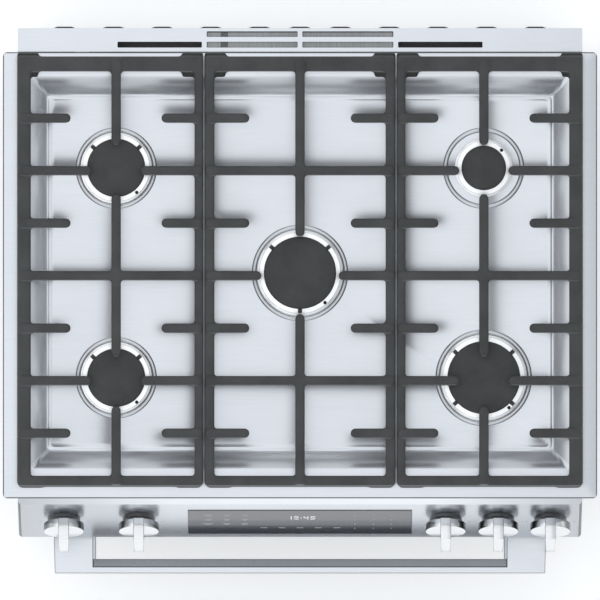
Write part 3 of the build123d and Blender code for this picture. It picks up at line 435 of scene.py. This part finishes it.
# ---------------------------------------------------------------- mesh helpers
def new_piece(name, bm, body, material, smooth=35):
    """An object from a bmesh, riding on a body; edges sharper than smooth, in degrees, stay crisp."""
    mesh = bpy.data.meshes.new(name)
    bm.normal_update()
    bm.to_mesh(mesh)
    bm.free()
    piece = bpy.data.objects.new(name, mesh)
    bpy.context.scene.collection.objects.link(piece)
    mesh.materials.append(material)
    mesh.shade_smooth()
    mesh.set_sharp_from_angle(angle=math.radians(smooth))
    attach(piece, body)
    return piece


def soften(obj, width, edge=None):
    """Round a piece's real edges; edge is a second material for the rounding itself, used to paint shade on
    it.
    """
    weld = obj.modifiers.new("weld", "WELD")
    weld.merge_threshold = 1e-5
    flat = obj.modifiers.new("flat_faces", "DECIMATE")
    flat.decimate_type = "DISSOLVE"
    flat.angle_limit = math.radians(0.5)
    bevel = obj.modifiers.new("rounding", "BEVEL")
    bevel.width = width * MM
    bevel.segments = 3
    bevel.limit_method = "ANGLE"
    bevel.angle_limit = math.radians(35)
    bevel.harden_normals = True
    bevel.use_clamp_overlap = True
    if edge:
        obj.data.materials.append(edge)
        bevel.material = len(obj.data.materials) - 1


def add_ring_faces(bm, rings):
    """Skin a list of equal closed vertex loops with quads."""
    count = len(rings[0])
    for lower, upper in zip(rings, rings[1:]):
        for i in range(count):
            j = (i + 1) % count
            bm.faces.new((lower[i], lower[j], upper[j], upper[i]))


AXIS = 0.01                    # the radius that stands for the axis in a turned outline


def lathe(bm, profile, steps, place):
    """Turn a closed (radius, height) outline, in millimetres, about its axis."""
    rings = []
    for radius, height in profile:
        ring = []
        for i in range(steps):
            turn = 2 * math.pi * i / steps
            point = Vector((radius * math.cos(turn), radius * math.sin(turn), height))
            ring.append(bm.verts.new((place @ point) * MM))
        rings.append(ring)
    rings.append(rings[0])
    add_ring_faces(bm, rings)


def arc_points(centre, radius, start, end, steps):
    """Points of an arc in a (radius, height) outline, from one angle to another in degrees."""
    points = []
    for i in range(steps + 1):
        turn = math.radians(start + (end - start) * i / steps)
        points.append((centre[0] + radius * math.cos(turn), centre[1] + radius * math.sin(turn)))
    return points


def rounded_box(bm, size, rounding, steps, place):
    """A box with rounded edges, in millimetres, carried to its place."""
    made = bmesh.ops.create_cube(bm, size=1.0)["verts"]
    bmesh.ops.scale(bm, vec=size, verts=made)
    edges = list({edge for vert in made for edge in vert.link_edges})
    result = bmesh.ops.bevel(
        bm, geom=edges, offset=rounding, segments=steps, profile=0.5, affect="EDGES", clamp_overlap=True
    )
    verts = {vert for face in result["faces"] for vert in face.verts} | {v for v in made if v.is_valid}
    for vert in verts:
        vert.co = (place @ vert.co) * MM


# ---------------------------------------------------------------- cooktop
WELL_Z = TOP_Z - 22.0
LIP = 6.0                      # how far the rolled edge hangs below the top
RIM = (363.0, -227.4, 301.5)   # half width, front and back of the well at its rim
FLOOR = (340.5, -202.6, 276.0) # and at its floor
SHEET = 3.0                    # the pressing's thickness with its folded hem


def rounded_loop(bm, half, front, back, z, radius, steps=6):
    """A level loop of vertices: a rectangle with rounded corners."""
    loop = []
    middles = ((half - radius, back - radius), (-half + radius, back - radius),
               (-half + radius, front + radius), (half - radius, front + radius))
    for corner, (x, y) in enumerate(middles):
        for i in range(steps + 1):
            turn = math.radians(90 * corner + 90 * i / steps)
            point = Vector((x + radius * math.cos(turn), y + radius * math.sin(turn), z))
            loop.append(bm.verts.new(point * MM))
    return loop


def slope_loop(bm, t, z, out=0.0, radius=5.0):
    """A loop on the well's wall: t is 0 at the rim and 1 at the floor."""
    half, front, back = (r + (f - r) * t for r, f in zip(RIM, FLOOR))
    return rounded_loop(bm, half + out, front - out, back + out, z, radius)


def make_cooktop(materials):
    """Pressed steel top: rolled lip, flat border, sloping walls rounded into the floor."""
    low, high = corners("cooktop")
    half, front, back = high.x, low.y, high.y
    hem = TOP_Z - LIP
    bm = bmesh.new()
    loops = [slope_loop(bm, 1, WELL_Z - SHEET), slope_loop(bm, 0.1, hem, SHEET)]
    loops.append(rounded_loop(bm, half - 1.0, front + 1.0, back - 1.0, hem, 5))
    for inset, z in ((0.3, 0.3), (0.0, 1.0), (0.0, 4.4), (0.25, 5.2), (0.8, 5.75), (1.6, 6.0)):
        loops.append(rounded_loop(bm, half - inset, front + inset, back - inset, hem + z, 6))
    loops.append(slope_loop(bm, 0, TOP_Z, 1.8))
    loops.append(slope_loop(bm, 0, TOP_Z - 0.25, 0.7))
    loops.append(slope_loop(bm, 0.04, TOP_Z - 0.85))
    fillet_top, fillet_steps = 0.86, 5
    loops.append(slope_loop(bm, fillet_top, TOP_Z + (WELL_Z - TOP_Z) * fillet_top))
    for i in range(1, fillet_steps + 1):
        part = i / fillet_steps
        t = fillet_top + (1.05 - fillet_top) * part
        z = TOP_Z + (WELL_Z - TOP_Z) * (1 - (1 - fillet_top) * (1 - part) ** 2)
        loops.append(slope_loop(bm, t, z))
    for t, rise in ((1.09, 0.45), (1.14, 0.75), (1.19, 0.75), (1.24, 0.4), (1.29, 0.0)):
        loops.append(slope_loop(bm, t, WELL_Z + rise))
    add_ring_faces(bm, loops)
    bm.faces.new(loops[-1])
    bm.faces.new(reversed(loops[0]))
    # painted shade: the rolled lip's outer faces take the near-black edge steel
    for face in bm.faces:
        centre = face.calc_center_median() / MM
        past = max(abs(centre.x) - half, front - centre.y, centre.y - back) + 1.6
        if past > 0 and centre.z > hem:
            face.material_index = 1
    piece = new_piece("cooktop_pressing", bm, BODY, materials["brushed_steel"], 50)
    piece.data.materials.append(materials["shaded_steel_edge"])
    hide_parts("cooktop")


# ---------------------------------------------------------------- burners
# Name, cap diameter, embossed ring's outer radius and the angles of the cap's lugs
BURNERS = {
    "left_rear": (78.5, 54.8, (42, 138)),
    "left_front": (78.5, 54.8, (42, 138)),
    "centre": (97.3, 65.0, (42, 138, 270)),
    "right_rear": (60.0, 54.8, ()),
    "right_front": (98.0, 65.0, (42, 138, 222, 318)),
}
HEAD_TOP = WELL_Z + 20.0
CROWN, SKIRT = 6.2, 9.0        # how far a head's crown and its skirt reach past the cap
BORE = 18.0
RING_WIDTH, RING_HEIGHT = 6.6, 1.3
SPARK_OUT = 3.8                # how far the igniter stands outside the cap's edge


def burner_middle(name):
    """Where a burner stands: the middle of its cap's spigot, from the frame."""
    low, high = corners(f"{name}_cap")
    return Vector(((low.x + high.x) / 2, (low.y + high.y) / 2, 0))


def burner_places():
    """Burner centres; the lug at the front of the middle cap is left out of the sum."""
    places = {name: burner_middle(name) for name in BURNERS}
    places["centre"].y = corners("centre_cap")[1].y - BURNERS["centre"][0] / 2
    return places


def make_ring(name, ring, place, materials):
    """Embossed ring of the cooktop round a burner."""
    turns = [math.pi * i / 10 for i in range(1, 10)]
    outline = [(ring - RING_WIDTH / 2 * (1 - math.cos(t)), RING_HEIGHT * math.sin(t) ** 1.4) for t in turns]
    outline = [(ring, -0.2)] + outline + [(ring - RING_WIDTH, -0.2)]
    bm = bmesh.new()
    lathe(bm, [(r, WELL_Z + z) for r, z in outline], 128, Matrix.Translation(place))
    new_piece(f"{name}_embossed_ring", bm, BODY, materials["ring_steel"])


def make_head(name, cap, place, materials):
    """Cast head of one burner: a skirt, a waist with the ports, an overhanging crown, an igniter."""
    crown, skirt = cap / 2 + CROWN, cap / 2 + SKIRT
    outline = [(BORE, WELL_Z), (skirt, WELL_Z)]
    outline += arc_points((skirt - 0.6, WELL_Z + 2.5), 0.6, 0, 70, 3)
    outline += [(crown - 0.8, WELL_Z + 4.2), (crown - 0.8, HEAD_TOP - 3.4)]
    outline += [(crown + 0.3, HEAD_TOP - 2.2)]
    outline += arc_points((crown - 0.9, HEAD_TOP - 1.2), 1.2, 0, 90, 5)
    outline += [(BORE, HEAD_TOP)]
    bm = bmesh.new()
    lathe(bm, outline, 144, Matrix.Translation(place))
    head = new_piece(f"{name}_head", bm, BODY, materials["head_aluminium"])
    turn = math.radians(45 if name == "right_rear" else -50)
    spark = place + Vector((math.cos(turn), math.sin(turn), 0)) * (cap / 2 + SPARK_OUT)
    cut_ports(head, place, crown, spark, materials)
    outline = [(AXIS, HEAD_TOP - 3.2), (1.9, HEAD_TOP - 3.2), (1.9, HEAD_TOP - 2.4)]
    outline += [(0.9, HEAD_TOP - 0.6), (AXIS, HEAD_TOP - 0.5)]
    bm = bmesh.new()
    lathe(bm, outline, 20, Matrix.Translation(spark))
    new_piece(f"{name}_electrode", bm, BODY, materials["soot_and_shade"])
    return head


def make_cap(name, cap, lugs, place, materials):
    """Enamelled cap with a round edge and a slight dome, a spigot below and short lugs, near-black past the
    cap's edge as painted shade of the grate fingers.
    """
    thick = corners(f"{name}_cap")[1].z - HEAD_TOP
    radius, round_edge = cap / 2, 3.0
    outline = [(AXIS, HEAD_TOP - 8), (BORE - 0.4, HEAD_TOP - 8), (BORE - 0.4, HEAD_TOP + 0.02)]
    outline += [(radius - 0.5, HEAD_TOP + 0.02), (radius, HEAD_TOP + 0.6)]
    outline += arc_points((radius - round_edge, HEAD_TOP + thick - 0.6 - round_edge), round_edge, 0, 82, 7)
    outline += [(radius * 0.75, HEAD_TOP + thick - 0.3), (radius * 0.4, HEAD_TOP + thick - 0.05)]
    outline += [(AXIS, HEAD_TOP + thick)]
    at = Matrix.Translation(place)
    bm = bmesh.new()
    lathe(bm, outline, 144, at)
    for angle in lugs:
        turn = Matrix.Rotation(math.radians(angle), 4, "Z")
        out = Matrix.Translation((radius - 0.5, 0, HEAD_TOP + 1.3))
        rounded_box(bm, (12, 5.4, 2.4), 0.5, 2, at @ turn @ out)
    # painted shade: the lugs' parts past the cap's edge, under the grate fingers, are near-black
    for face in bm.faces:
        if (face.calc_center_median() / MM - place).to_2d().length > radius + 0.2:
            face.material_index = 1
    body = f"{name}_cap_body"
    piece = new_piece(f"{name}_cap_enamel", bm, body, materials["cap_enamel"])
    piece.data.materials.append(materials["soot_and_shade"])
    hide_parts(f"{name}_cap")


def make_burner(name, place, materials):
    """One burner's ring, head and cap; returns the head."""
    cap, ring, lugs = BURNERS[name]
    make_ring(name, ring, place, materials)
    head = make_head(name, cap, place, materials)
    make_cap(name, cap, lugs, place, materials)
    return head


def cut_ports(head, place, crown, spark, materials):
    """Cut the ring of flame ports and the igniter's hole into a head; their walls are near-black."""
    ports = max(20, int(crown * 0.7))
    bm = bmesh.new()
    for i in range(ports):
        turn = Matrix.Rotation(2 * math.pi * i / ports, 4, "Z")
        slot = Matrix.Translation(place) @ turn @ Matrix.Translation((crown, 0, HEAD_TOP - 7.5))
        rounded_box(bm, (8, 2.0, 7), 0.5, 1, slot)
    hole = [(AXIS, WELL_Z - 2), (2.4, WELL_Z - 2), (2.4, HEAD_TOP + 2), (AXIS, HEAD_TOP + 2)]
    lathe(bm, hole, 32, Matrix.Translation(spark))
    mesh = bpy.data.meshes.new("port_cutter")
    bm.to_mesh(mesh)
    bm.free()
    mesh.materials.append(materials["soot_and_shade"])
    cutter = bpy.data.objects.new("port_cutter", mesh)
    bpy.context.scene.collection.objects.link(cutter)
    cut = head.modifiers.new("ports", "BOOLEAN")
    cut.operation = "DIFFERENCE"
    cut.solver = "EXACT"
    cut.object = cutter
    cut.material_mode = "TRANSFER"
    cut.use_self = True
    freeze(head)
    bpy.data.objects.remove(cutter)


def freeze(obj):
    """Turn a new piece's modifiers into its mesh."""
    bpy.context.view_layer.update()
    seen = obj.evaluated_get(bpy.context.evaluated_depsgraph_get())
    mesh = bpy.data.meshes.new_from_object(seen)
    obj.modifiers.clear()
    obj.data = mesh


# ---------------------------------------------------------------- grates
VOXEL = 1.7


def make_grate(node, body, materials):
    """Cast-iron skin over a grate's own shape: soft edges, filleted joints, sand-cast waviness."""
    mesh = frame["nodes"][node].data.copy()
    piece = bpy.data.objects.new(f"{node}_casting", mesh)
    bpy.context.scene.collection.objects.link(piece)
    weld = piece.modifiers.new("weld", "WELD")
    weld.merge_threshold = 1e-5
    remesh = piece.modifiers.new("skin", "REMESH")
    remesh.mode = "VOXEL"
    remesh.voxel_size = VOXEL * MM
    smooth = piece.modifiers.new("soften", "SMOOTH")
    smooth.factor = 0.5
    smooth.iterations = 5
    freeze(piece)
    piece.data.materials.clear()
    piece.data.materials.append(materials["cast_iron"])
    piece.data.shade_smooth()
    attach(piece, body)
    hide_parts(node)


# ---------------------------------------------------------------- panel: knobs and display
PANEL_TILT = math.radians(16.7)
PANEL_FOOT = Vector((0, -318.9, corners("control_panel")[0].z))
KNOB_UP_SLOPE = 84.0
DISC_RADIUS, HUB_RADIUS, STEM_RADIUS = 27.0, 20.0, 4.0
DISC_NEAR, DISC_FAR = 7.0, 18.0    # the disc's back and front, straight out from the panel
HUB_NEAR, STEM_NEAR, TIP_FAR = 5.8, -22.0, 37.7
GRIP = (14.3, 60.0)
DOT_REACH = 34.5                   # from a knob's middle to the dots round it
GRIP_TAPER = 0.13                  # how much narrower the grip gets towards its foot
PRINT_LIFT = 0.82                  # marks lie this far out, on the display glass


def on_panel(x, up, out):
    """Matrix to a place on the sloping face: X along it, Y up the slope, Z straight out."""
    face = Matrix.Translation(PANEL_FOOT) @ Matrix.Rotation(math.pi / 2 - PANEL_TILT, 4, "X")
    return face @ Matrix.Translation((x, up, out))


def knob_x(name):
    """Where a knob stands along the panel, from the frame."""
    low, high = corners(f"{name}_knob")
    return (low.x + high.x) / 2


def make_knob(name, materials):
    """Turned disc, long grip bar tapering at its foot, and the hub and stem behind them."""
    at = on_panel(knob_x(name), KNOB_UP_SLOPE, 0)
    edge = 0.7
    outline = [(AXIS, DISC_NEAR), (DISC_RADIUS - edge, DISC_NEAR)]
    outline += arc_points((DISC_RADIUS - edge, DISC_NEAR + edge), edge, -90, 0, 3)
    outline += arc_points((DISC_RADIUS - edge, DISC_FAR - edge), edge, 0, 90, 3)
    outline += [(AXIS, DISC_FAR)]
    bm = bmesh.new()
    lathe(bm, outline, 96, at)
    hub_far, stem_far = DISC_NEAR + 0.1, HUB_NEAR + 0.1
    hub = [(AXIS, HUB_NEAR), (HUB_RADIUS - 0.4, HUB_NEAR), (HUB_RADIUS, HUB_NEAR + 0.4)]
    lathe(bm, hub + [(HUB_RADIUS, hub_far), (AXIS, hub_far)], 64, at)
    stem = [(AXIS, STEM_NEAR), (STEM_RADIUS, STEM_NEAR), (STEM_RADIUS, stem_far), (AXIS, stem_far)]
    lathe(bm, stem, 32, at)
    grip = bmesh.new()
    length = TIP_FAR - DISC_NEAR
    rounded_box(grip, (*GRIP, length), 1.0, 3, Matrix.Translation((0, 0, DISC_NEAR + length / 2)))
    for vert in grip.verts:
        up = vert.co.y / MM
        if up < 0:
            vert.co.x *= 1 - GRIP_TAPER * (-up / (GRIP[1] / 2)) ** 1.5
        vert.co = at @ (vert.co / MM) * MM
    mesh = bpy.data.meshes.new("grip")
    grip.to_mesh(mesh)
    grip.free()
    bm.from_mesh(mesh)
    bpy.data.meshes.remove(mesh)
    body = f"{name}_knob_body"
    piece = new_piece(f"{name}_knob_shell", bm, body, materials["knob_steel"])
    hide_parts(f"{name}_knob")


def flat_marks(name, marks, material):
    """Thin printed marks on the display: each is (x, up, width, height)."""
    bm = bmesh.new()
    for x, up, width, height in marks:
        rounded_box(bm, (width, height, 0.12), 0.04, 1, on_panel(x, up, PRINT_LIFT))
    new_piece(name, bm, BODY, material)


# Lit segments of each clock digit: top, upper right, lower right, bottom, lower left, upper left, middle
SEGMENTS = {"1": "0110000", "2": "1101101", "4": "0110011", "5": "1011011"}


def clock_marks(text, x, up, width, height, pitch):
    """Seven-segment digits as marks, one pitch apart, with a two-dot colon."""
    marks = []
    for sign in text:
        if sign == ":":
            x -= pitch * 0.28
            for side in (-0.22, 0.22):
                marks.append((x, up + height * side, 1.3, height * 0.16))
            x += pitch * 0.72
            continue
        half_w, half_h = width / 2, height / 2
        bars = (
            (0, half_h, 1, 0), (half_w, half_h / 2, 0, 1), (half_w, -half_h / 2, 0, 1), (0, -half_h, 1, 0),
            (-half_w, -half_h / 2, 0, 1), (-half_w, half_h / 2, 0, 1), (0, 0, 1, 0),
        )
        for lit, (dx, dy, across, along) in zip(SEGMENTS[sign], bars):
            if lit == "1":
                size = (width + 1.2, 2.6) if across else (1.3, half_h * along + 2.6)
                marks.append((x + dx, up + dy, *size))
        x += pitch
    return marks


def make_display(materials):
    """Clock digits and plain touch marks printed on the display glass."""
    flat_marks("clock_digits", clock_marks("12:45", -14.3, 92, 5.0, 12.5, 9.2), materials["digits"])
    marks = []
    for x, width in ((-124, 13), (-99, 9.5), (-74.5, 9.5)):
        for up, share in ((103, 0.9), (83, 0.8), (63, 1.0)):
            marks.append((x, up + 2.5, width * share, 2.0))
            marks.append((x, up - 2.5, width * share * 0.7, 1.4))
    for x in (-49, -24.5, 0, 24.5, 50):
        marks.append((x, 46, 9, 2.0))
    for x in (74, 99, 123):
        for up in (104, 83, 63, 43):
            marks.append((x, up, 1.3, 3.2))
    flat_marks("touch_marks", marks, materials["print"])


def make_dots(materials):
    """Printed dots round each knob."""
    bm = bmesh.new()
    for name in BURNERS:
        for angle, size in ((135, 1.6), (200, 1.6), (-20, 1.9), (45, 1.4)):
            turn = math.radians(angle)
            over = Vector((math.cos(turn), math.sin(turn), 0)) * DOT_REACH
            place = on_panel(knob_x(name) + over.x, KNOB_UP_SLOPE + over.y, 0)
            lathe(bm, [(AXIS, -0.05), (size / 2, -0.05), (size / 2, 0.1), (AXIS, 0.1)], 16, place)
    new_piece("panel_dots", bm, BODY, materials["bezel"])


# ---------------------------------------------------------------- finishes on the part's own nodes
# Width of the rounding on each node's edges
ROUNDED = {
    "control_panel": 0.7, "door_skin": 1.2, "door_liner": 1.0, "drawer_front": 1.2, "drawer_box": 0.8,
    "left_side_panel": 0.6, "right_side_panel": 0.6, "spacer_tabs": 0.5, "base_frame": 0.8,
    "front_frame": 0.7, "rear_panel": 0.5, "oven_floor_panel": 0.5, "fan_baffle": 0.5,
    "levelling_legs": 0.7, "display_glass": 0.35, "terminal_block": 1.0, "hinge_receivers": 0.6,
    "drawer_slides": 0.5, "flue_duct": 0.4, "gas_regulator": 1.0, "gas_valves": 0.7, "oven_liner": 0.9,
}
# The same, where the rounding takes painted shade, darker than the faces
EDGED = {"door_handle": 0.8, "drawer_handle": 0.8, "rear_vent_trim": 0.7}
# Nodes whose finish isn't simply their material slot's
FINISH = {
    "door_handle": "handle_steel", "drawer_handle": "handle_steel", "control_panel": "panel_steel",
    "door_skin": "shaded_door_steel", "drawer_front": "shaded_door_steel",
    "left_side_panel": "side_steel", "right_side_panel": "side_steel",
}


FLUE_MIDDLE, FLUE_WIDTH = 337.2, 46.4    # the flue's mouth along Y
DIVIDER = (-102.0, 10.0)                 # the divider's middle and width along X
SHELF_TOP_Z = 884.0                      # the rear panel's ledges under the outer vent slots, which take painted shade


def make_flue_screen(materials):
    """Ribbed screen over the flue's mouth, just under the middle vent slots, and its divider's cap."""
    low, high = corners("flue_duct")
    mouth = high.z + 0.35
    x, width = DIVIDER
    bm = bmesh.new()
    place = Matrix.Translation((0, FLUE_MIDDLE, mouth))
    rounded_box(bm, (high.x - low.x, FLUE_WIDTH, 0.5), 0.15, 1, place)
    new_piece("flue_screen", bm, BODY, materials["screen_steel"])
    bm = bmesh.new()
    rounded_box(bm, (width, FLUE_WIDTH, 0.6), 0.15, 1, Matrix.Translation((x, FLUE_MIDDLE, mouth + 0.6)))
    new_piece("flue_divider_cap", bm, BODY, materials["bezel"])


def repaint(node, material, chosen):
    """Give a part node's chosen faces a second finish."""
    mesh = frame["nodes"][node].data
    mesh.materials.append(material)
    for face in mesh.polygons:
        if chosen(face):
            face.material_index = 1


def on_ledge(face):
    """True for the tops of the rear panel's ledges."""
    return face.normal.z > 0.9 and abs(face.center.z / MM - SHELF_TOP_Z) < 1


def on_end(face):
    """True for the faces that look along X."""
    return abs(face.normal.x) > 0.3


def finish_nodes(materials, hidden):
    """Give each part node that stays its own finish and soft edges."""
    slots = {entry["node"]: entry["material_slot"] for entry in frame["record"]["subparts"]}
    for name, node in frame["nodes"].items():
        if name in hidden:
            continue
        node.data.materials.clear()
        node.data.materials.append(materials[FINISH.get(name, slots[name])])
        for face in node.data.polygons:
            face.material_index = 0
        if name in ROUNDED:
            soften(node, ROUNDED[name])
        if name in EDGED:
            soften(node, EDGED[name], materials["shaded_steel_edge"])
    # painted shade on the ledges under the outer vent slots
    repaint("rear_panel", materials["shaded_ledge_paint"], on_ledge)
    # painted shade on the panel's ends, the faces looking along X
    repaint("control_panel", materials["shaded_steel_edge"], on_end)


def main():
    make_camera()
    make_studio()
    materials = make_materials()
    make_cooktop(materials)
    hidden = {"cooktop", "burner_heads"}
    heads = [make_burner(name, place, materials) for name, place in burner_places().items()]
    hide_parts("burner_heads")
    for side in ("left", "centre", "right"):
        make_grate(f"{side}_grate", f"{side}_grate_body", materials)
        hidden.add(f"{side}_grate")
    for name in BURNERS:
        make_knob(name, materials)
        hidden |= {f"{name}_cap", f"{name}_knob"}
    make_display(materials)
    make_dots(materials)
    make_flue_screen(materials)
    finish_nodes(materials, hidden)


main()
